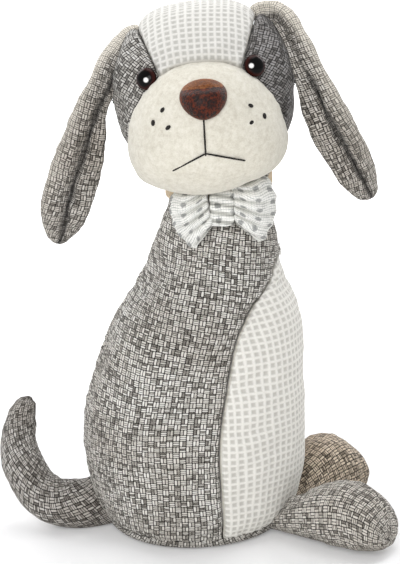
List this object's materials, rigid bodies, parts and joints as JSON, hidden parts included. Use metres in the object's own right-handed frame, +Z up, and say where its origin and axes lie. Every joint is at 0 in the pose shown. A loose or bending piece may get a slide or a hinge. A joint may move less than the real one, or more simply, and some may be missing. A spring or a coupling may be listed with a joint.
{
  "type": "dog door stop",
  "caption": "Weighted cloth door stop in the shape of a sitting dog with a bow tie, head turned to one side, filled with fibre over a bag of sand.",
  "frame": {"origin": "middle of the flat base, on the surface the door stop stands on", "axes": "+Z up, +X towards the chest and paws, the face looks along -Y"},
  "size_m": [0.217, 0.1413, 0.296],
  "materials": {
    "tweed": "coarse basket weave of light and dark grey yarns",
    "waffle_cloth": "off-white waffle weave",
    "fleece": "cream short-pile fleece",
    "leather": "dark red-brown, pebbled",
    "eye_plastic": "gloss black with a dark brown rim",
    "washer_plastic": "natural",
    "black_thread": "black embroidery thread",
    "spotted_cotton": "white cotton with grey spots",
    "tape": "tan cotton tape",
    "fibre": "white loose fibre",
    "sand_bag": "plain cotton bag filled with sand"
  },
  "bodies": {
    "root": {"body_side_near": "tweed", "body_side_far": "tweed", "base_panel": "tweed", "head_side_left": "tweed", "head_side_right": "tweed", "ear_left": "tweed", "ear_right": "tweed", "tail": "tweed", "paw_near": "tweed", "paw_far": "tweed", "belly_panel": "waffle_cloth", "crown_panel": "waffle_cloth", "muzzle": "fleece", "nose": "leather", "eye_left": "eye_plastic", "eye_right": "eye_plastic", "eye_washer_left": "washer_plastic", "eye_washer_right": "washer_plastic", "mouth_stitch": "black_thread", "whisker_stitch_1": "black_thread", "whisker_stitch_2": "black_thread", "whisker_stitch_3": "black_thread", "whisker_stitch_4": "black_thread", "whisker_stitch_5": "black_thread", "whisker_stitch_6": "black_thread", "bow_knot": "spotted_cotton", "bow_loop_left": "spotted_cotton", "bow_loop_right": "spotted_cotton", "neck_band": "tape", "body_filling": "fibre", "head_filling": "fibre", "sand_bag": "sand_bag"}
  },
  "joints": []
}
